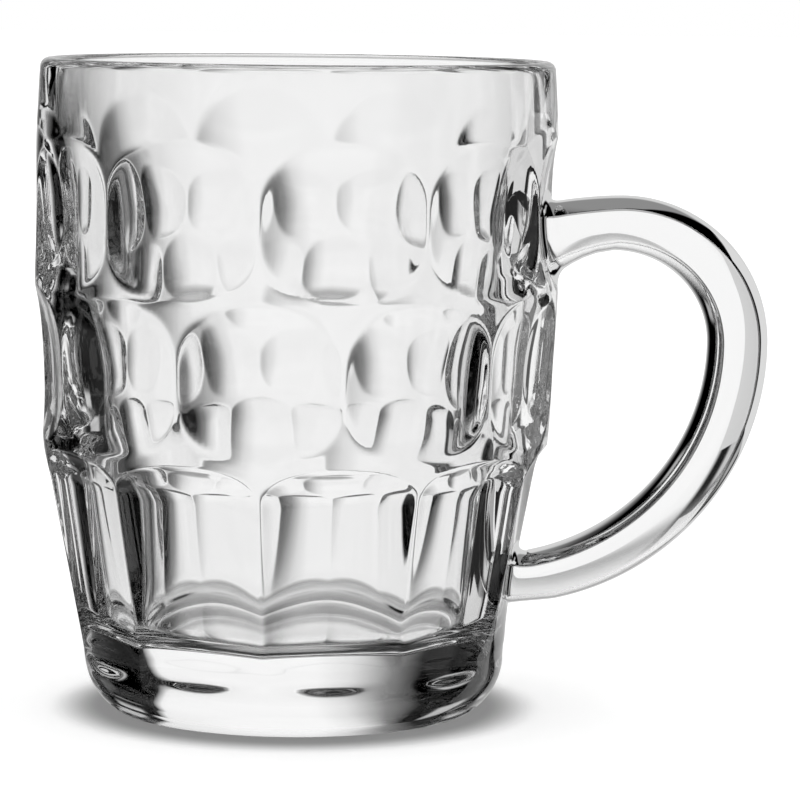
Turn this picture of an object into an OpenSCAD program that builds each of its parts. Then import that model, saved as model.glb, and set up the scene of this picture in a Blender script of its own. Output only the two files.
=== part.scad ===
// Dimpled glass beer mug for one imperial pint.
// A pressed soda-lime body with three staggered rows of thumb dimples, and a
// solid glass handle that is welded to it hot. Millimetres, +Z up. The origin is
// the middle of the base, on the mug's axis, and the handle points along +X.

/* [Body outside] */
// Height from the table to the top of the rim
height = 127; // [118:0.5:136]
// Radius of the belly at its widest, over the ribs
belly_r = 51.15; // [48:0.05:54]
// Level of the widest part of the belly
belly_z = 93; // [84:0.5:100]
// Radius of the belly's upright curve
belly_curve_r = 480; // [400:5:900]
// Level of the knee, where the belly meets the tapered lower wall
knee_z = 50.5; // [47:0.5:54]
// How far the top of the rounded foot stands in from the belly
foot_inset = 10.15; // [8:0.05:12]
// Level at the top of the rounded foot
foot_z = 8; // [7:0.25:8.5]
// Radius of the curve round the foot
foot_curve_r = 12; // [10:0.5:14]
// Radius of the fire-polished lip
lip_r = 1.8; // [1.4:0.1:2.2]

/* [Bowl] */
// Thickness of the wall, over the ribs, where the taper of the bowl changes
waist_t = 8.1; // [7:0.1:10]
// Level at which the taper of the bowl changes
waist_z = 52; // [44:1:62]
// Thickness of the wall beside the floor, over the ridges
heel_t = 6.75; // [6:0.05:9]
// Thickness of the solid glass foot under the floor
floor_t = 15.5; // [13:0.5:19]
// Radius of the corner between the wall and the floor
floor_corner_r = 6; // [3:0.5:9]

/* [Thumb dimples] */
// Dimples in each row
dimple_count = 10; // [8:1:12]
// Turn of the top and bottom rows away from the handle
pattern_turn = 8; // [0:1:18]
// Depth of a thumb dimple
dimple_depth = 3.3; // [2:0.1:3.6]
// Height of a thumb dimple
dimple_h = 29.8; // [26:0.2:30]
// Radius of a thumb dimple's floor, seen from above
dimple_floor_r = 107; // [90:1:300]
// Level of the middle of the top row
top_row_z = 98; // [97.4:0.1:99]
// Level of the middle of the second row
mid_row_z = 68.3; // [68:0.1:69]

/* [Tall panels] */
// Depth of a panel at its shoulder
panel_depth = 3.7; // [2.5:0.1:4]
// Level of the shoulder, where the arched top of a panel begins
panel_shoulder_z = 46.4; // [44:0.1:47]
// Level at which a panel runs out into the foot
panel_foot_z = 9.3; // [9:0.1:12]
// Radius of a panel's floor, seen from the side
panel_bow_r = 190; // [170:5:400]
// Radius of a panel's floor, seen from above
panel_floor_r = 95; // [85:1:150]
// Radius of the arched top, seen from the side
panel_end_r = 10; // [8:0.5:11]

/* [Handle] */
// Reach of the handle from the mug's axis
handle_reach = 92.5; // [88:0.5:97]
// Level of the handle's widest point, where its two arcs meet
handle_mid_z = 72.2; // [70:0.2:74]
// Outer radius of the handle's upper arc
handle_upper_r = 28.8; // [27:0.2:29.4]
// Outer radius of the handle's long lower arc
handle_lower_r = 51.9; // [50:0.2:53]
// Thickness of the handle, from its inner face to its outer one
handle_t = 11.3; // [9:0.1:12]
// Width of the handle from side to side
handle_w = 15.8; // [13:0.1:18]
// How far the outer face of the handle swells between its edges
outer_crown = 2.4; // [1:0.1:3]
// How far the inner face of the handle swells between its edges
inner_crown = 2.2; // [1:0.1:3]
// Radius of the flare that spreads each end of the handle on the body
flare_r = 3; // [2:0.1:3.6]

/* [Hidden] */
$fa = 1;
$fs = 0.5;
// Steps of a full turn on the large curves
fine = 720;
// Steps of a full turn on the swollen faces of the flares
coarse = 48;

// Overrun of every cut past the glass that it cuts
over = 2;
// Angle from one dimple of a row to the next
pitch = 360 / dimple_count;
// Angle by which a panel's tool runs on below the panel's foot
run_out = 2;
// Width of a scooping tool, as a share of the pitch of the dimples round the belly
tool_share = 1.06;
// Thickness of the slices that the flares are drawn through
slice_t = 0.2;
// Slices in each flare
flare_steps = 3;
// How far a flare's thin end lies under the handle's surface
flare_sink = 0.05;
// Sector of the body that the handle's ends are trimmed to
root_sector = 60;
// How far the handle's ends are drawn into the body before they are trimmed
root_sink = 5;

// Radius of the blank at a level on the belly
function belly_at(z) = belly_r - belly_curve_r
    + sqrt(pow(belly_curve_r, 2) - pow(belly_z - z, 2));

// The blank's tapered lower wall runs from the knee to the top of the foot
foot_r = belly_r - foot_inset;
knee_r = belly_at(knee_z);
wall_slope = (knee_r - foot_r) / (knee_z - foot_z);
wall_lean = atan(wall_slope);

// Radius of the blank at a level on the tapered lower wall
function wall_at(z) = foot_r + wall_slope * (z - foot_z);

lip_z = height - lip_r;
mouth_r = belly_at(lip_z);
bowl_mouth_r = mouth_r - 2 * lip_r;
waist_r = belly_at(waist_z) - waist_t;
bowl_floor_r = wall_at(floor_t) - heel_t;
bowl_slope = (bowl_mouth_r - waist_r) / (lip_z - waist_z);

// Round corner between the lower cone of the bowl and its floor
bowl_lean = atan((waist_r - bowl_floor_r) / (waist_z - floor_t));
corner_x = bowl_floor_r + floor_corner_r * (tan(bowl_lean) - 1 / cos(bowl_lean));
corner_z = floor_t + floor_corner_r;

// Middle of the foot's curve, which touches the tapered wall at foot_z
foot_curve_x = foot_r - foot_curve_r * cos(wall_lean);
foot_curve_z = foot_z + foot_curve_r * sin(wall_lean);

// Handle: middles of the two arcs
upper_arc_x = handle_reach - handle_upper_r;
lower_arc_x = handle_reach - handle_lower_r;
handle_top_z = handle_mid_z + handle_upper_r;
handle_foot_z = handle_mid_z - handle_lower_r;

// Half section of the undimpled body
module blank_outline() {
    wide_r = belly_r + over;
    wide_z = foot_z + (wide_r - foot_r) / wall_slope;
    difference() {
        intersection() {
            translate([belly_r - belly_curve_r, belly_z])
                circle(r = belly_curve_r, $fn = fine);
            polygon([
                [0, 0], [wall_at(0), 0], [wide_r, wide_z], [wide_r, lip_z], [0, lip_z]
            ]);
        }
        difference() {
            translate([foot_curve_x, -over]) square([wide_r - foot_curve_x, foot_z + over]);
            translate([foot_curve_x, foot_curve_z]) circle(r = foot_curve_r);
        }
    }
}

// Half section of the space inside the mug
module bowl_outline() {
    touch_r = corner_x + floor_corner_r * cos(bowl_lean);
    touch_z = corner_z - floor_corner_r * sin(bowl_lean);
    top_z = height + over;
    polygon([
        [0, floor_t], [corner_x, floor_t], [touch_r, touch_z], [waist_r, waist_z],
        [bowl_mouth_r + bowl_slope * (top_z - lip_z), top_z], [0, top_z]
    ]);
    translate([corner_x, corner_z]) circle(r = floor_corner_r);
}

// Angle that a tool of the given radius turns through to cut one dimple
function tool_sweep(r) = 2 * asin(tool_share * PI * belly_r / dimple_count / r);

// Tool for one thumb dimple: a ring that is thick enough to scoop a bowl-shaped
// floor, leaning with the belly at the row's level
module thumb_tool(z) {
    lean = asin((belly_z - z) / belly_curve_r);
    half_h = dimple_h / 2;
    scoop_r = (pow(half_h, 2) + pow(dimple_depth, 2)) / (2 * dimple_depth);
    sweep = tool_sweep(dimple_floor_r);
    translate([belly_at(z) - dimple_depth, 0, z])
        rotate([0, lean, 0])
            translate([dimple_floor_r, 0, 0])
                rotate([0, 0, 180 - sweep / 2])
                    rotate_extrude(angle = sweep, $fn = fine)
                        intersection() {
                            translate([dimple_floor_r - scoop_r, 0]) circle(r = scoop_r);
                            translate([dimple_floor_r - dimple_depth - over, -scoop_r])
                                square([dimple_depth + 2 * over, 2 * scoop_r]);
                        }
}

// Tool for one tall panel: a long bowed scoop and a rounded end for its arched top
module panel_tool() {
    foot_point = [wall_at(panel_foot_z), panel_foot_z];
    shoulder_point = [wall_at(panel_shoulder_z) - panel_depth, panel_shoulder_z];
    chord = shoulder_point - foot_point;
    chord_lean = atan2(chord[0], chord[1]);
    half_sweep = asin(norm(chord) / 2 / panel_bow_r);
    // Middle of the bow, outside the mug
    middle = (foot_point + shoulder_point) / 2
        + panel_bow_r * cos(half_sweep) * [cos(chord_lean), -sin(chord_lean)];
    shoulder_lean = chord_lean + half_sweep;
    sweep = tool_sweep(panel_floor_r);
    reach = panel_floor_r * sin(sweep / 2);
    translate([middle[0], 0, middle[1]])
        rotate([90, 0, 0])
            rotate([0, 0, 180 - shoulder_lean])
                rotate_extrude(angle = 2 * half_sweep + run_out, $fn = fine)
                    intersection() {
                        translate([panel_bow_r - panel_floor_r, 0])
                            circle(r = panel_floor_r);
                        translate([panel_bow_r - panel_depth - 2 * over, -reach])
                            square([panel_depth + 4 * over, 2 * reach]);
                    }
    translate([shoulder_point[0], 0, shoulder_point[1]])
        rotate([0, shoulder_lean, 0])
            translate([panel_floor_r, 0, 0])
                rotate([0, 0, 180 - sweep / 2])
                    rotate_extrude(angle = sweep, $fn = fine)
                        translate([panel_floor_r - panel_end_r, 0])
                            circle(r = panel_end_r);
}

// Thumb dimples: the second row stands half a pitch off the top one
module thumb_tools() {
    for (i = [0 : dimple_count - 1]) {
        rotate([0, 0, i * pitch - pattern_turn]) thumb_tool(top_row_z);
        rotate([0, 0, (i + 0.5) * pitch - pattern_turn]) thumb_tool(mid_row_z);
    }
}

// Presses all the dimples into its children
module dimpled() {
    difference() {
        difference() {
            children();
            thumb_tools();
        }
        for (i = [0 : dimple_count - 1])
            rotate([0, 0, i * pitch - pattern_turn]) panel_tool();
    }
}

// Bar section between two levels, with flat sides. Its lower and upper faces swell
// by the given crowns towards the mould's parting line in the middle
module bar_section(low, high, half_w, low_crown, high_crown) {
    // Radius of a face that swells by one crown across the bar
    function face_r(crown) = (pow(half_w, 2) + pow(crown, 2)) / (2 * crown);
    intersection() {
        translate([-half_w, low]) square([2 * half_w, high - low]);
        translate([0, low + face_r(low_crown)]) circle(r = face_r(low_crown));
        translate([0, high - face_r(high_crown)]) circle(r = face_r(high_crown));
    }
}

// Section of the handle, with its outer face at the given radius
module handle_section(outer_r) {
    rotate([0, 0, -90])
        bar_section(outer_r - handle_t, outer_r, handle_w / 2, inner_crown, outer_crown);
}

// Slice through a root of the handle, grown by the flare at one step. The last
// value says whether the flare spreads below the handle too
module root_slice(x, low_z, high_z, grow, grow_low) {
    translate([x, 0, 0])
        rotate([90, 0, 90])
            linear_extrude(height = slice_t)
                bar_section(low_z - grow * grow_low, high_z + grow, handle_w / 2 + grow,
                    inner_crown, outer_crown, $fn = coarse);
}

// Flare from a wall at wall_x outwards, following a quarter circle
module root_flare(wall_x, low_z, high_z, grow_low) {
    // How far a step stands off the wall, and how much wider the root is there
    function step_off(i) = flare_r * (1 - cos(90 * i / flare_steps));
    function step_grow(i) = flare_r * (1 - sin(90 * i / flare_steps)) - flare_sink;
    for (i = [0 : flare_steps - 1])
        hull() {
            if (i == 0)
                root_slice(wall_x - root_sink, low_z, high_z, step_grow(0), grow_low);
            root_slice(wall_x + step_off(i), low_z, high_z, step_grow(i), grow_low);
            root_slice(wall_x + step_off(i + 1), low_z, high_z, step_grow(i + 1), grow_low);
        }
}

// The pressed body of the mug
module mug_body() {
    color([0.86, 0.9, 0.89, 0.45])
        dimpled()
            rotate_extrude() {
                difference() {
                    blank_outline();
                    bowl_outline();
                }
                translate([mouth_r - lip_r, lip_z]) circle(r = lip_r);
            }
}

// The solid handle, trimmed to the dimpled wall that it is welded to
module handle() {
    // Turn of the upper arc past its top, which gives the root its deep underside
    root_turn = acos((upper_arc_x - belly_r + root_sink) / handle_upper_r);
    root_low_z = handle_mid_z
        + sqrt(pow(handle_upper_r - handle_t, 2) - pow(upper_arc_x - belly_r - flare_r, 2));
    color([0.84, 0.89, 0.88, 0.5])
        difference() {
            union() {
                translate([upper_arc_x, 0, handle_mid_z])
                    rotate([90, 0, 0])
                        rotate_extrude(angle = 180 - root_turn)
                            handle_section(handle_upper_r);
                translate([lower_arc_x, 0, handle_mid_z])
                    rotate([90, 0, 0])
                        rotate([0, 0, -90])
                            rotate_extrude(angle = 90)
                                handle_section(handle_lower_r);
                translate([belly_r - root_sink, 0, handle_mid_z])
                    rotate([90, 0, 90])
                        linear_extrude(height = upper_arc_x - belly_r + root_sink)
                            rotate([0, 0, 90]) handle_section(handle_upper_r);
                root_flare(belly_r, root_low_z, handle_top_z, 1);
                root_flare(wall_at(handle_foot_z + handle_t), handle_foot_z + outer_crown,
                    handle_foot_z + handle_t, 0);
            }
            dimpled()
                rotate([0, 0, -root_sector / 2])
                    rotate_extrude(angle = root_sector) blank_outline();
        }
}

mug_body();
handle();
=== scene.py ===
import math
import bpy
import numpy as np
from mathutils import Matrix, Vector


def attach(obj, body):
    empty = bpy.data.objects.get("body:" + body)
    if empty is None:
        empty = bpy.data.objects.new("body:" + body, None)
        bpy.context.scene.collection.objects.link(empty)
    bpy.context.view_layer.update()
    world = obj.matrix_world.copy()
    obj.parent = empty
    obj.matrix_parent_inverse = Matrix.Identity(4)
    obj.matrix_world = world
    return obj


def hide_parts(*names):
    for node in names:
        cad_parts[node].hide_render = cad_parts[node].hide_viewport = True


# A dimpled pint mug in pressed glass, on a white studio sweep.
# Lengths in the dictionaries are millimetres. The handle points along +X.

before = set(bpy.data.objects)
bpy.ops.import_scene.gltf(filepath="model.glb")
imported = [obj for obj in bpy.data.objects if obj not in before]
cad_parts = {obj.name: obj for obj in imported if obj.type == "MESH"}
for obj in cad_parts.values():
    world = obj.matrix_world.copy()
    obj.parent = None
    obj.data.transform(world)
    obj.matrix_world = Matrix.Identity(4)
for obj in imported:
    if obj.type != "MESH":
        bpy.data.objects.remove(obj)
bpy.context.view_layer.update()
mm = 0.001
print("frame loaded")


def linearColour(hexText):
    # sRGB hex to the linear values that the shader sockets take
    parts = [int(hexText[i:i + 2], 16) / 255 for i in (1, 3, 5)]
    return [c / 12.92 if c <= 0.04045 else ((c + 0.055) / 1.055) ** 2.4 for c in parts] + [1.0]


def addNode(tree, kind, settings=()):
    # settings: property or socket -> value; a value that is an output socket is linked
    node = tree.nodes.new(kind)
    for name, value in dict(settings).items():
        if isinstance(name, str) and hasattr(node, name):
            setattr(node, name, value)
        elif isinstance(value, bpy.types.NodeSocket):
            tree.links.new(value, node.inputs[name])
        else:
            node.inputs[name].default_value = value
    return node


body = {
    "height": 126.99,
    "bellyRadius": 51.15,       # widest, over the ribs
    "bellyLevel": 93.0,
    "bellyCurve": 480.0,        # radius of the upright curve
    "kneeLevel": 50.5,          # belly meets the tapered lower wall
    "footInset": 10.15,
    "footLevel": 8.0,
    "footCurve": 12.0,
    "baseEdge": 1.3,            # softened edge round the base
    "lipRadius": 1.8,           # fire-polished lip
    "waistWall": 8.1,
    "waistLevel": 52.0,
    "heelWall": 6.75,
    "floorLevel": 15.5,         # thickness of the solid glass foot
    "floorCorner": 6.0,
    "kneeSoftness": 0.12,       # rounding where the belly and the taper meet
    "baseRings": [8, 16, 24, 30],   # radii of the mesh's rings on the flat base
    "baseRim": 1.5,             # from the last of them to the base's soft edge
    "floorRings": [24, 18, 12, 6],  # radii of the rings on the floor of the bowl
    # levels up the dimpled wall, each with the spacing of the rings above it
    "wallRings": [(8.0, 0.55), (17, 1.2), (41, 0.8), (43.5, 0.5), (54, 0.6), (61, 1.0), (75, 0.6),
                  (92, 1.0), (103, 0.6), (114, 1.2)],
}

dimples = {
    "perRow": 10,
    "turn": -8.0,               # degrees, middle of a top-row dimple from the handle
    "depth": 3.3,
    "halfWidth": 15.9,
    "halfHeight": 14.8,
    "squareness": 2.55,         # 2 is an ellipse, more is squarer
    "topRow": 97.7,
    "middleRow": 68.2,
    "softness": 0.11,           # rounding of the ribs between them
}

panels = {
    "depth": 3.7,               # at the shoulder
    "footDepth": 0.6,
    "bow": (1.6, -0.9, 0.3),    # how the depth grows from the foot to the shoulder
    "shoulder": 45.3,
    "archHeight": 7.0,
    "foot": 13.6,
    "footArch": 4.5,
    "squareness": 2.3,
}

pitch = 2 * math.pi / dimples["perRow"]
kneeRadius = (body["bellyRadius"] - body["bellyCurve"]
              + math.sqrt(body["bellyCurve"] ** 2 - (body["bellyLevel"] - body["kneeLevel"]) ** 2))
footRadius = body["bellyRadius"] - body["footInset"]
wallSlope = (kneeRadius - footRadius) / (body["kneeLevel"] - body["footLevel"])


def bellyAt(z):
    return (body["bellyRadius"] - body["bellyCurve"]
            + np.sqrt(body["bellyCurve"] ** 2 - (body["bellyLevel"] - z) ** 2))


def taperAt(z):
    return footRadius + wallSlope * (z - body["footLevel"])


def blankAt(z):
    # softened lesser of belly and taper
    k = body["kneeSoftness"]
    a, b = bellyAt(z), taperAt(z)
    low = np.minimum(a, b)
    return low - k * np.log(np.exp(-(a - low) / k) + np.exp(-(b - low) / k))


def wrapped(angle):
    # angle from the nearest dimple's middle
    return (angle + pitch / 2) % pitch - pitch / 2


def dimpleDepth(angle, z):
    turn = math.radians(dimples["turn"])
    n = dimples["squareness"]
    found = []
    for level, offset in ((dimples["topRow"], 0), (dimples["middleRow"], pitch / 2)):
        for shift in (-pitch, 0, pitch):
            u = (wrapped(angle - turn - offset) + shift) * body["bellyRadius"] / dimples["halfWidth"]
            v = (z - level) / dimples["halfHeight"]
            s = (np.abs(u) ** n + np.abs(v) ** n) ** (2 / n)
            found.append(dimples["depth"] * (1 - s))
    n = panels["squareness"]
    x = np.clip((z - panels["foot"]) / (panels["shoulder"] - panels["foot"]), 0, 1)
    first, second, third = panels["bow"]
    bow = x * (first + second * x + third * x * x)
    depth = panels["footDepth"] + (panels["depth"] - panels["footDepth"]) * bow
    v = (np.maximum(z - panels["shoulder"], 0) / panels["archHeight"]
         + np.maximum(panels["foot"] - z, 0) / panels["footArch"])
    for shift in (-pitch, 0, pitch):
        u = (wrapped(angle - turn) + shift) / (pitch / 2)
        s = (np.abs(u) ** n + v ** n) ** (2 / n)
        found.append(depth * (1 - s))
    k = dimples["softness"]
    total = np.ones_like(found[0])
    for f in found:
        total = total + np.exp(np.minimum(f, 8) / k)
    return k * np.log(total)


def wallRadius(angle, z):
    # outer wall of the finished body, dimples and all
    return blankAt(z) - dimpleDepth(angle, z)


def stepped(stops):
    # levels between (level, spacing) stops
    out = []
    for (a, step), (b, _) in zip(stops, stops[1:]):
        count = max(1, round((b - a) / step))
        out += [a + (b - a) * i / count for i in range(count)]
    return out + [stops[-1][0]]


def arc(cx, cz, r, start, end, count):
    # count points on an arc, angles in degrees from +r
    turns = np.radians(np.linspace(start, end, count))
    return [(cx + r * math.cos(t), cz + r * math.sin(t)) for t in turns]


def makeMesh(name, verts, faces):
    mesh = bpy.data.meshes.new(name)
    mesh.from_pydata([tuple(v) for v in np.asarray(verts) * mm], [], faces)
    mesh.validate()
    mesh.polygons.foreach_set("use_smooth", [True] * len(mesh.polygons))
    obj = bpy.data.objects.new(name, mesh)
    bpy.context.scene.collection.objects.link(obj)
    return obj


columnsPerRib = 20
crowding = 0.55                 # how much closer together the columns stand at the ribs
ribSpan = pitch / 2
steps = np.arange(columnsPerRib) / columnsPerRib
warped = steps - crowding * np.sin(2 * math.pi * steps) / (2 * math.pi)
columns = np.concatenate([math.radians(dimples["turn"]) + ribSpan * (j + warped)
                          for j in range(2 * dimples["perRow"])])
columnCount = len(columns)


def bodyRows():
    # (radius, level, dimpled) from the middle of the base, up the wall, over the lip and down to the floor
    b = body
    lean = math.degrees(math.atan(wallSlope))
    footX = footRadius - b["footCurve"] * math.cos(math.radians(lean))
    footZ = b["footLevel"] + b["footCurve"] * math.sin(math.radians(lean))
    # small rounding between the flat base and the foot's curve
    e = b["baseEdge"]
    edgeX = footX + math.sqrt((b["footCurve"] - e) ** 2 - (footZ - e) ** 2)
    touch = math.degrees(math.atan2(e - footZ, edgeX - footX))
    rows = [(r, 0.0, False) for r in b["baseRings"] + [edgeX - b["baseRim"]]]
    rows += [(x, z, False) for x, z in arc(edgeX, e, e, -90, touch, 5)]
    rows += [(x, z, False) for x, z in arc(footX, footZ, b["footCurve"], touch, -lean, 12)[1:-1]]
    lipZ = b["height"] - b["lipRadius"]
    mouth = float(bellyAt(np.array(lipZ)))
    rows += [(None, z, True) for z in stepped(b["wallRings"] + [(lipZ, 1)])]
    rows += [(x, z, False) for x, z in arc(mouth - b["lipRadius"], lipZ, b["lipRadius"], 0, 180, 15)[1:]]
    bowlMouth = mouth - 2 * b["lipRadius"]
    waist = float(bellyAt(np.array(b["waistLevel"]))) - b["waistWall"]
    heel = float(taperAt(b["floorLevel"])) - b["heelWall"]
    bowlLean = math.atan((waist - heel) / (b["waistLevel"] - b["floorLevel"]))
    c = b["floorCorner"]
    cornerX = heel + c * (math.tan(bowlLean) - 1 / math.cos(bowlLean))
    cornerZ = b["floorLevel"] + c
    touchZ = cornerZ - c * math.sin(bowlLean)
    touchX = cornerX + c * math.cos(bowlLean)
    for z in np.linspace(lipZ, b["waistLevel"], 16)[1:]:
        share = (z - b["waistLevel"]) / (lipZ - b["waistLevel"])
        rows.append((waist + (bowlMouth - waist) * share, z, False))
    for z in np.linspace(b["waistLevel"], touchZ, 8)[1:-1]:
        rows.append((touchX + (waist - touchX) * (z - touchZ) / (b["waistLevel"] - touchZ), z, False))
    rows += [(x, z, False) for x, z in arc(cornerX, cornerZ, c, -math.degrees(bowlLean), -90, 9)]
    rows += [(r, b["floorLevel"], False) for r in b["floorRings"]]
    return rows


rows = bodyRows()
print("body rows", len(rows), "columns", columnCount)
cosines, sines = np.cos(columns), np.sin(columns)
bodyVerts = []
for r, z, dimpled in rows:
    radius = wallRadius(columns, np.full_like(columns, z)) if dimpled else np.full_like(columns, r)
    bodyVerts.append(np.stack([radius * cosines, radius * sines, np.full_like(columns, z)], 1))
bodyVerts = np.concatenate(bodyVerts + [[[0, 0, 0]], [[0, 0, body["floorLevel"]]]])
ring = np.arange(columnCount)
after = (ring + 1) % columnCount
bodyFaces = []
for j in range(len(rows) - 1):
    a, b = j * columnCount, (j + 1) * columnCount
    bodyFaces += np.stack([a + ring, a + after, b + after, b + ring], 1).tolist()
baseMiddle, floorMiddle = len(bodyVerts) - 2, len(bodyVerts) - 1
bodyFaces += [[baseMiddle, int(after[i]), int(i)] for i in ring]
last = (len(rows) - 1) * columnCount
bodyFaces += [[floorMiddle, int(last + i), int(last + after[i])] for i in ring]

handle = {
    "width": 15.8,
    "outerCrown": 0.212,        # how far the outer face swells, as a share of the handle's thickness
    "innerCrown": 0.195,
    "sideCrown": 0.12,          # mm, the sides are all but flat
    "edge": 0.9,                # rounding where the sides meet the swollen faces
    "upperMiddle": (63.7, 72.2), "upperRadius": 28.8,
    "lowerMiddle": (40.6, 72.2), "lowerRadius": 51.9,
    "innerUpper": (61.9, 72.2), "innerUpperSpan": (18.8, 18.1),
    "innerLower": (37.2, 72.2), "innerLowerSpan": (43.5, 42.4),
    "topDroop": 58.0,           # radius of the top as it runs back to the wall
    "undersideX": (49.5, 51.0, 52.5, 54.0, 56.0, 58.5, 61.9),
    "undersideZ": (85.2, 86.0, 86.9, 87.8, 88.8, 89.7, 90.3),
    "rootX": (50.0, 44.3),      # where the upper and lower ends meet the wall, near enough
    "cove": (2.7, 2.1),         # fillet round each end
    "settle": 9.0,              # length over which the ends take the wall's shape
    "settleFrom": 0.4,          # where that begins, as a share of the fillet
    "lowerEnd": -78.0,          # degrees, where the lower arc turns back to the wall
    "pastCove": 1.1,            # where the rings past each fillet begin, as a share of the fillet
    "rings": {"upperEnd": 18, "upperArc": 60, "lowerArc": 80, "lowerEnd": 9},
}


def wallX(y, z):
    # x of the outer wall beside the handle; a few passes settle the angle
    x = np.full_like(y, body["bellyRadius"])
    for _ in range(6):
        r = wallRadius(np.arctan2(y, x), z)
        x = np.sqrt(np.maximum(r * r - y * y, 1))
    return x


def crownedFace(thick, half, crown, edge, count=17, bend=7):
    # one swollen face with its two rounded edges, from +y to -y, as (height over the bar's middle, y)
    radius = (half * half + crown * crown) / (2 * crown)
    middle = thick / 2 - radius
    edgeY = half - edge
    edgeA = middle + math.sqrt((radius - edge) ** 2 - edgeY ** 2)
    tilt = math.atan2(edgeY, edgeA - middle)
    first = [(edgeA + edge * math.cos(t), edgeY + edge * math.sin(t))
             for t in np.linspace(math.pi / 2, tilt, bend)]
    face = [(middle + radius * math.cos(t), radius * math.sin(t)) for t in np.linspace(tilt, -tilt, count)]
    return first + face[1:-1] + [(a, -y) for a, y in reversed(first)]


def barSection(thick, half, edge, outerCrown, innerCrown, sideCrown, flat=7):
    # points round one section of the handle: height over its middle, and y
    outer = crownedFace(thick, half, outerCrown, edge)
    inner = [(-a, -y) for a, y in crownedFace(thick, half, innerCrown, edge)]

    def side(start, end, sign):
        return [(start[0] + (end[0] - start[0]) * f, start[1] + sign * sideCrown * 4 * f * (1 - f))
                for f in np.arange(1, flat) / flat]

    return np.array(outer + side(outer[-1], inner[0], -1) + inner + side(inner[-1], outer[0], 1))


def ringAt(outer, inner, grow=0.0, growInside=True, growOutside=True):
    # one section between a point of the outer guide and one of the inner guide
    h = handle
    (ox, oz), (ix, iz) = outer, inner
    thick = math.hypot(ox - ix, oz - iz)
    up, low = grow * growOutside, grow * growInside
    section = barSection(thick + up + low, h["width"] / 2 + grow, h["edge"] + grow * 0.5,
                         h["outerCrown"] * thick, h["innerCrown"] * thick, h["sideCrown"])
    a, y = section[:, 0] + (up - low) / 2, section[:, 1]
    return np.stack([(ox + ix) / 2 + (ox - ix) / thick * a, y, (oz + iz) / 2 + (oz - iz) / thick * a], 1)


def rootRing(offset, outer, inner, cove, share, lower):
    # a section near an end: offset is its distance off the wall, and share goes from 0, the wall's shape,
    # to 1, a plane
    grow = cove - math.sqrt(max(cove ** 2 - (cove - min(offset, cove)) ** 2, 0))
    ring = ringAt(outer, inner, grow, growOutside=not lower)
    xWall = wallX(ring[:, 1], ring[:, 2]) + offset
    ring[:, 0] = xWall + (ring[:, 0] - xWall) * share
    return ring


def smoothShare(s):
    s = min(max(s, 0), 1)
    return s * s * (3 - 2 * s)


def onArc(middle, spans, angle):
    return (middle[0] + spans[0] * math.cos(angle), middle[1] + spans[1] * math.sin(angle))


def handleRings():
    h = handle
    out = []
    (ux, uz), ur = h["upperMiddle"], h["upperRadius"]
    (lx, lz), lr = h["lowerMiddle"], h["lowerRadius"]
    # upper end, from the wall out to the top of the arc
    wall, cove = h["rootX"][0], h["cove"][0]
    reach, innerReach = ux - wall, h["undersideX"][-1] - wall
    offsets = [cove * (1 - math.cos(math.radians(t))) for t in range(0, 90, 10)]
    offsets += list(np.linspace(cove * h["pastCove"], reach, h["rings"]["upperEnd"]))
    for d in offsets:
        x = wall + d
        outer = (x, uz + ur - h["topDroop"] + math.sqrt(h["topDroop"] ** 2 - (ux - x) ** 2))
        innerX = wall + d * innerReach / reach
        inner = (innerX, float(np.interp(innerX, h["undersideX"], h["undersideZ"])))
        share = smoothShare((d - cove * h["settleFrom"]) / h["settle"])
        out.append(rootRing(d, outer, inner, cove, share, False))
    # the two arcs
    for t in np.radians(np.linspace(90, 0, h["rings"]["upperArc"]))[1:]:
        out.append(ringAt(onArc((ux, uz), (ur, ur), t), onArc(h["innerUpper"], h["innerUpperSpan"], t)))
    lastTurn = math.radians(h["lowerEnd"])
    for t in np.linspace(0, lastTurn, h["rings"]["lowerArc"])[1:]:
        out.append(ringAt(onArc((lx, lz), (lr, lr), t), onArc(h["innerLower"], h["innerLowerSpan"], t)))
    # lower end, back to the wall
    lastOuter = onArc((lx, lz), (lr, lr), lastTurn)
    lastInner = onArc(h["innerLower"], h["innerLowerSpan"], lastTurn)
    wall, cove = h["rootX"][1], h["cove"][1]
    reach = (lastOuter[0] + lastInner[0]) / 2 - wall
    (wx, wz), (wa, wb) = h["innerLower"], h["innerLowerSpan"]
    offsets = list(np.linspace(reach, cove * h["pastCove"], h["rings"]["lowerEnd"]))[1:]
    offsets += [cove * (1 - math.cos(math.radians(t))) for t in range(80, -1, -10)]
    for d in offsets:
        lean = smoothShare(d / reach)
        xOuter = wall + d + (lastOuter[0] - wall - reach) * lean
        xInner = wall + d + (lastInner[0] - wall - reach) * lean
        outer = (xOuter, lz - math.sqrt(lr * lr - (xOuter - lx) ** 2))
        inner = (xInner, wz - wb * math.sqrt(1 - ((xInner - wx) / wa) ** 2))
        share = smoothShare((d - cove * h["settleFrom"]) / (reach - cove * h["settleFrom"]))
        out.append(rootRing(d, outer, inner, cove, share, True))
    return out


rings = handleRings()
around = len(rings[0])
idx = np.arange(around)
nxt = (idx + 1) % around
handleVerts = [np.concatenate(rings)]
handleFaces = []
for j in range(len(rings) - 1):
    a, b = j * around, (j + 1) * around
    handleFaces += np.stack([a + idx, b + idx, b + nxt, a + nxt], 1).tolist()
handleMarks = [0] * len(handleFaces)


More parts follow.
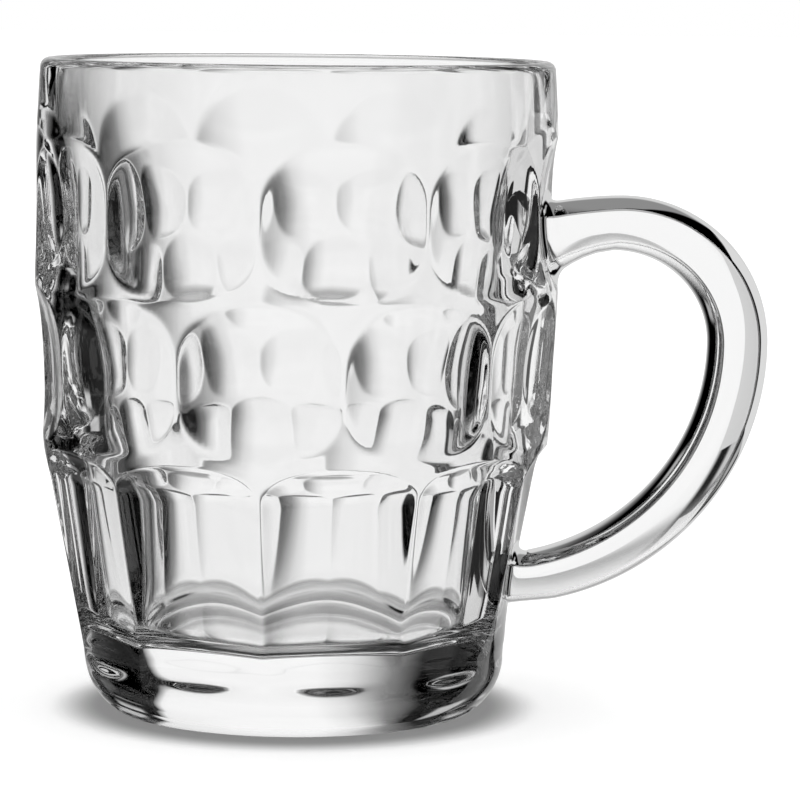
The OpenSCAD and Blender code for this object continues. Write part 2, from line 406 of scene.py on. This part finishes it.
def closeEnd(base, prior, count, flip):
    # rings that shrink on the wall to the middle of a root; returns their points and faces
    centre = base.mean(0)
    points, faces = [], []
    for s in (0.8, 0.6, 0.4, 0.2, 0.0):
        y = centre[1] + (base[:, 1] - centre[1]) * s
        z = centre[2] + (base[:, 2] - centre[2]) * s
        ringPoints = np.stack([wallX(y, z), y, z], 1)
        if s > 0:
            points.append(ringPoints)
            here = count + idx
            faces += np.stack([prior, prior[nxt], here[nxt], here], 1).tolist()
            prior, count = here, count + around
        else:
            points.append(ringPoints[:1])
            faces += [[int(prior[k]), int(prior[nxt[k]]), count] for k in idx]
    return np.concatenate(points), [f[::-1] for f in faces] if flip else faces


for ringIndex, flip in ((0, False), (len(rings) - 1, True)):
    points, faces = closeEnd(rings[ringIndex], ringIndex * around + idx, sum(map(len, handleVerts)), flip)
    handleVerts.append(points)
    handleFaces += faces
    handleMarks += [1] * len(faces)
handleVerts = np.concatenate(handleVerts)


# the wall under each root is marked, so that no surface bends the light inside the weld, and the weld's
# grey painted shade dims what is seen there
def insidePolygon(y, z, ringPoints):
    inside = np.zeros(len(y), bool)
    py, pz = ringPoints[:, 1], ringPoints[:, 2]
    for i in range(len(py)):
        y0, z0, y1, z1 = py[i - 1], pz[i - 1], py[i], pz[i]
        crosses = (z0 > z) != (z1 > z)
        with np.errstate(divide="ignore", invalid="ignore"):
            inside ^= crosses & (y < (y1 - y0) * (z - z0) / (z1 - z0) + y0)
    return inside


dimpledRow = np.array([d for _, _, d in rows])
wallVert = np.repeat(dimpledRow, columnCount)
wallVert = np.concatenate([wallVert, [False, False]]) & (bodyVerts[:, 0] > 0)
under = np.zeros(len(bodyVerts), bool)
for ringPoints in (rings[0], rings[-1]):
    under |= insidePolygon(bodyVerts[:, 1], bodyVerts[:, 2], ringPoints)
under &= wallVert
bodyMarks = [int(all(under[f])) for f in bodyFaces]
print("weld faces", sum(bodyMarks), "handle rings", len(rings), "around", around)

mugBody = makeMesh("mugBody", bodyVerts, bodyFaces)
mugHandle = makeMesh("mugHandle", handleVerts, handleFaces)
print("triangles", [sum(len(p.vertices) - 2 for p in o.data.polygons) for o in (mugBody, mugHandle)])

glass = {
    "tint": "#fdfdfd",
    "ior": 1.52,
    "roughness": 0.0,
    "rippleWidth": 11.0,        # mm across one slow wave left by the mould and the plunger
    "rippleHeight": 0.03,       # mm
    "joinShadeTint": "#787878",      # painted shade: the grey that the weld's see-through faces let through
}


def pressedGlass(name):
    # pressed soda-lime glass, fire-polished: clear and hard, with black and white streaks where it bends
    # the studio, and slow waves in its skin that keep the streaks from being ruler-straight
    mat = bpy.data.materials.new(name)
    mat.use_nodes = True
    tree = mat.node_tree
    tree.nodes.clear()
    spot = addNode(tree, "ShaderNodeTexCoord")
    waves = addNode(tree, "ShaderNodeTexNoise", {
        "Vector": spot.outputs["Object"], "Scale": 1 / (glass["rippleWidth"] * mm), "Detail": 1.0})
    skin = addNode(tree, "ShaderNodeBump", {
        "Height": waves.outputs[0], "Distance": glass["rippleHeight"] * mm, "Strength": 1.0})
    surface = addNode(tree, "ShaderNodeBsdfPrincipled", {
        "Base Color": linearColour(glass["tint"]), "Roughness": glass["roughness"],
        "IOR": glass["ior"], "Transmission Weight": 1.0, "Normal": skin.outputs[0]})
    addNode(tree, "ShaderNodeOutputMaterial", {"Surface": surface.outputs[0]})
    return mat


def weldWithPaintedShade(name):
    # hot weld between handle and body: nothing bends there, and a grey painted shade dims what is seen
    # through it
    mat = bpy.data.materials.new(name)
    mat.use_nodes = True
    tree = mat.node_tree
    tree.nodes.clear()
    clear = addNode(tree, "ShaderNodeBsdfTransparent", {"Color": linearColour(glass["joinShadeTint"])})
    addNode(tree, "ShaderNodeOutputMaterial", {"Surface": clear.outputs[0]})
    return mat


# painted shade for the join, put on the marked faces of body and handle
weld = weldWithPaintedShade("weldPaintedShadeGlass")
for obj, name, marks in (
        (mugBody, "pressedSodaLimeGlass", bodyMarks), (mugHandle, "pressedHandleGlass", handleMarks)):
    obj.data.materials.append(pressedGlass(name))
    obj.data.materials.append(weld)
    obj.data.polygons.foreach_set("material_index", marks)
    obj.data.update()
print("glass made")

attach(mugBody, "root")
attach(mugHandle, "root")
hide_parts("mug_body")
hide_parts("handle")

studio = {
    "paper": "#ffffff",
    "paperSpan": 16.0,          # m
    "paperLevel": -0.0003,
    "lift": 0.20,               # narrows the soft shadow on the paper, for the eye alone
    "paintedShadowSpan": (0.038, 0.050),  # m from the middle, where the painted contact shadow on the paper goes from dark under the foot to white
    "paintedShadowTone": 0.10,
    "paintedShadowClears": (0.85, 0.98),  # cosines, so that the painted shadow lifts and the base stays clear from straight above
    "sheen": (0.4, 0.8),        # cosines between which glass sees the paper turn from sheen to matt
    "rimShare": 0.65,           # how much of the cards the outer gloss picks up
}


def makeFloor():
    s = studio["paperSpan"] / 2
    mesh = bpy.data.meshes.new("studioFloor")
    z = studio["paperLevel"]
    mesh.from_pydata([(-s, -s, z), (s, -s, z), (s, s, z), (-s, s, z)], [], [(0, 1, 2, 3)])
    obj = bpy.data.objects.new("studioFloor", mesh)
    bpy.context.scene.collection.objects.link(obj)
    # matt white paper for the camera, with a painted contact shadow round the foot; glass sees its
    # low-angle part shine like a sweep and mirror the cards
    mat = bpy.data.materials.new("whitePaperSweep")
    mat.use_nodes = True
    tree = mat.node_tree
    tree.nodes.clear()
    path = addNode(tree, "ShaderNodeLightPath")
    facing = addNode(tree, "ShaderNodeLayerWeight", {"Blend": 0.5})
    cosine = addNode(tree, "ShaderNodeMath", {"operation": "SUBTRACT", 0: 1.0, 1: facing.outputs["Facing"]})
    spot = addNode(tree, "ShaderNodeTexCoord")
    reach = addNode(tree, "ShaderNodeVectorMath", {"operation": "LENGTH", 0: spot.outputs["Object"]})
    # painted contact shadow: the paper's own colour darkens to the shadow tone under and round the foot,
    # less so where glass looks down on it steeply
    near, far = studio["paintedShadowSpan"]
    shade = addNode(tree, "ShaderNodeMapRange", {
        "interpolation_type": "SMOOTHSTEP", 0: reach.outputs["Value"], 1: near, 2: far,
        3: studio["paintedShadowTone"], 4: 1.0})
    low, high = studio["paintedShadowClears"]
    steep = addNode(tree, "ShaderNodeMapRange", {
        "interpolation_type": "SMOOTHSTEP", 0: cosine.outputs[0], 1: low, 2: high, 3: 0.0, 4: 1.0})
    tone = addNode(tree, "ShaderNodeMath", {
        "operation": "MAXIMUM", 0: shade.outputs[0], 1: steep.outputs[0]})
    paperWithPaintedShadow = addNode(tree, "ShaderNodeMix", {
        "data_type": "RGBA", "Factor": tone.outputs[0], 6: (0, 0, 0, 1), 7: linearColour(studio["paper"])})
    paper = addNode(tree, "ShaderNodeBsdfDiffuse", {"Color": paperWithPaintedShadow.outputs[2]})
    amount = addNode(tree, "ShaderNodeMath", {
        "operation": "MULTIPLY", 0: path.outputs["Is Camera Ray"], 1: studio["lift"]})
    lift = addNode(tree, "ShaderNodeEmission", {
        "Color": linearColour(studio["paper"]), "Strength": amount.outputs[0]})
    matt = addNode(tree, "ShaderNodeAddShader", {0: paper.outputs[0], 1: lift.outputs[0]})
    shine = addNode(tree, "ShaderNodeBsdfAnisotropic", {"Color": (1, 1, 1, 1), "Roughness": 0.05})
    low, high = studio["sheen"]
    slope = addNode(tree, "ShaderNodeMapRange", {
        "interpolation_type": "SMOOTHSTEP", 0: cosine.outputs[0], 1: low, 2: high, 3: 1.0, 4: 0.0})
    plain = addNode(tree, "ShaderNodeMath", {
        "operation": "MAXIMUM", 0: path.outputs["Is Camera Ray"], 1: path.outputs["Is Diffuse Ray"]})
    inGlass = addNode(tree, "ShaderNodeMath", {"operation": "SUBTRACT", 0: 1.0, 1: plain.outputs[0]})
    share = addNode(tree, "ShaderNodeMath", {
        "operation": "MULTIPLY", 0: inGlass.outputs[0], 1: slope.outputs[0]})
    both = addNode(tree, "ShaderNodeMixShader", {
        0: share.outputs[0], 1: matt.outputs[0], 2: shine.outputs[0]})
    addNode(tree, "ShaderNodeOutputMaterial", {"Surface": both.outputs[0]})
    obj.data.materials.append(mat)


# a small white card beside the handle, out of frame; it puts light into the handle's outer face
sideCard = {
    "x": 0.150, "y": 0.065,     # m
    "halfWidth": 0.030,
    "low": 0.020, "high": 0.140,
    "faces": 0.088,             # x of the part of the handle that it is turned to
    "strength": 0.7,
}


def makeSideCard():
    c = sideCard
    turn = math.atan2(c["x"] - c["faces"], c["y"])
    dx, dy = math.cos(turn) * c["halfWidth"], -math.sin(turn) * c["halfWidth"]
    mesh = bpy.data.meshes.new("sideCard")
    mesh.from_pydata([(c["x"] - dx, c["y"] - dy, c["low"]), (c["x"] + dx, c["y"] + dy, c["low"]),
                      (c["x"] + dx, c["y"] + dy, c["high"]), (c["x"] - dx, c["y"] - dy, c["high"])],
                     [], [(0, 1, 2, 3)])
    obj = bpy.data.objects.new("sideCard", mesh)
    bpy.context.scene.collection.objects.link(obj)
    mat = bpy.data.materials.new("whiteCard")
    mat.use_nodes = True
    tree = mat.node_tree
    tree.nodes.clear()
    glow = addNode(tree, "ShaderNodeEmission", {"Color": (1, 1, 1, 1), "Strength": c["strength"]})
    addNode(tree, "ShaderNodeOutputMaterial", {"Surface": glow.outputs[0]})
    obj.data.materials.append(mat)
    obj.visible_camera = obj.visible_diffuse = obj.visible_shadow = False


# what glass sees round it: bright cards on black, each by brightness across and brightness up, against
# degrees; 0 across is straight behind the mug, and the handle points to +90
cards = {
    "window": {
        "across": [(-27, 0.0), (-18, 0.25), (-10, 0.8), (-4, 1.0), (28, 1.0), (31, 0.0)],
        "up": [(0, 1.0), (24, 1.0), (30, 0.4), (84, 0.4), (90, 0.2)]},
    "cameraSide": {
        "across": [(-180, 1.0), (-130, 1.0), (-118, 0.0), (130, 0.0), (136, 1.0), (180, 1.0)],
        "up": [(0, 0.35), (9, 0.35), (12, 0.65), (20, 0.65), (25, 0.0)]},
    "leftStrip": {
        "across": [(-98, 0.0), (-95, 0.5), (-85, 0.5), (-82, 0.0)],
        "up": [(0, 1.0), (24, 1.0), (28, 0.0)]},
    "rightStrip": {
        "across": [(82, 0.0), (85, 0.5), (95, 0.5), (98, 0.0)],
        "up": [(0, 1.0), (24, 1.0), (28, 0.0)]},
    "leftHigh": {
        "across": [(-54, 0.0), (-51, 0.6), (-39, 0.6), (-36, 0.0)],
        "up": [(16, 0.0), (19, 1.0), (25, 1.0), (28, 0.0)]},
    "rightHigh": {
        "across": [(36, 0.0), (38, 0.6), (50, 0.6), (53, 0.0)],
        "up": [(16, 0.0), (19, 1.0), (25, 1.0), (28, 0.0)]},
}


def makeWorld():
    world = bpy.data.worlds.new("studioWorld")
    bpy.context.scene.world = world
    world.use_nodes = True
    tree = world.node_tree
    tree.nodes.clear()
    spot = addNode(tree, "ShaderNodeTexCoord")
    axes = addNode(tree, "ShaderNodeSeparateXYZ", {0: spot.outputs["Generated"]})
    across = addNode(tree, "ShaderNodeMath", {
        "operation": "ARCTAN2", 0: axes.outputs[0], 1: axes.outputs[1]})
    up = addNode(tree, "ShaderNodeMath", {"operation": "ARCSINE", 0: axes.outputs[2]})
    level = None
    for card in cards.values():
        shares = []
        for angle, stops in ((across, card["across"]), (up, card["up"])):
            place = addNode(tree, "ShaderNodeMath", {
                "operation": "MULTIPLY_ADD", 0: angle.outputs[0], 1: 0.5 / math.pi, 2: 0.5})
            ramp = addNode(tree, "ShaderNodeValToRGB", {0: place.outputs[0]})
            marks = ramp.color_ramp.elements
            marks.remove(marks[-1])
            for i, (degrees, bright) in enumerate(stops):
                mark = marks[0] if i == 0 else marks.new(degrees / 360 + 0.5)
                mark.position = degrees / 360 + 0.5
                mark.color = (bright, bright, bright, 1)
            shares.append(ramp.outputs[0])
        lit = addNode(tree, "ShaderNodeMath", {"operation": "MULTIPLY", 0: shares[0], 1: shares[1]})
        level = lit if level is None else addNode(tree, "ShaderNodeMath", {
            "operation": "MAXIMUM", 0: level.outputs[0], 1: lit.outputs[0]})
    path = addNode(tree, "ShaderNodeLightPath")
    outside = addNode(tree, "ShaderNodeMath", {
        "operation": "LESS_THAN", 0: path.outputs["Transmission Depth"], 1: 0.5})
    gloss = addNode(tree, "ShaderNodeMath", {
        "operation": "MULTIPLY", 0: outside.outputs[0], 1: path.outputs["Is Glossy Ray"]})
    keep = addNode(tree, "ShaderNodeMath", {
        "operation": "MULTIPLY_ADD", 0: gloss.outputs[0], 1: studio["rimShare"] - 1, 2: 1.0})
    level = addNode(tree, "ShaderNodeMath", {
        "operation": "MULTIPLY", 0: level.outputs[0], 1: keep.outputs[0]})
    # plain white for the eye and for the light on the paper, the cards for what glass bends and mirrors
    bent = addNode(tree, "ShaderNodeMath", {
        "operation": "MAXIMUM", 0: path.outputs["Is Glossy Ray"], 1: path.outputs["Is Transmission Ray"]})
    direct = addNode(tree, "ShaderNodeMath", {
        "operation": "LESS_THAN", 0: path.outputs["Diffuse Depth"], 1: 0.5})
    inGlass = addNode(tree, "ShaderNodeMath", {
        "operation": "MULTIPLY", 0: bent.outputs[0], 1: direct.outputs[0]})
    less = addNode(tree, "ShaderNodeMath", {"operation": "SUBTRACT", 0: level.outputs[0], 1: 1.0})
    strength = addNode(tree, "ShaderNodeMath", {
        "operation": "MULTIPLY_ADD", 0: inGlass.outputs[0], 1: less.outputs[0], 2: 1.0})
    light = addNode(tree, "ShaderNodeBackground", {"Color": (1, 1, 1, 1), "Strength": strength.outputs[0]})
    addNode(tree, "ShaderNodeOutputWorld", {"Surface": light.outputs[0]})


makeFloor()
makeSideCard()
makeWorld()
print("studio made")


view = {
    "place": (0.0, -750.0, 144.295),
    "target": (20.418, 0.0, 60.395),
    "lens": 172.889,            # on a 36 mm wide sensor
    "roll": 0.607,
}


def makeCamera():
    data = bpy.data.cameras.new("productCamera")
    data.sensor_width = 36
    data.lens = view["lens"]
    data.clip_start, data.clip_end = 0.05, 50
    obj = bpy.data.objects.new("productCamera", data)
    bpy.context.scene.collection.objects.link(obj)
    place, target = Vector(view["place"]) * mm, Vector(view["target"]) * mm
    look = (target - place).normalized()
    right = look.cross(Vector((0, 0, 1))).normalized()
    up = right.cross(look)
    c, s = math.cos(math.radians(view["roll"])), math.sin(math.radians(view["roll"]))
    right, up = right * c + up * s, up * c - right * s
    obj.matrix_world = Matrix((
        (right.x, up.x, -look.x, place.x),
        (right.y, up.y, -look.y, place.y),
        (right.z, up.z, -look.z, place.z),
        (0, 0, 0, 1)))
    bpy.context.scene.camera = obj


makeCamera()
scene = bpy.context.scene
scene.view_settings.view_transform = "Standard"
scene.cycles.max_bounces = 32
scene.cycles.transmission_bounces = 32
scene.cycles.glossy_bounces = 16
print("camera set")
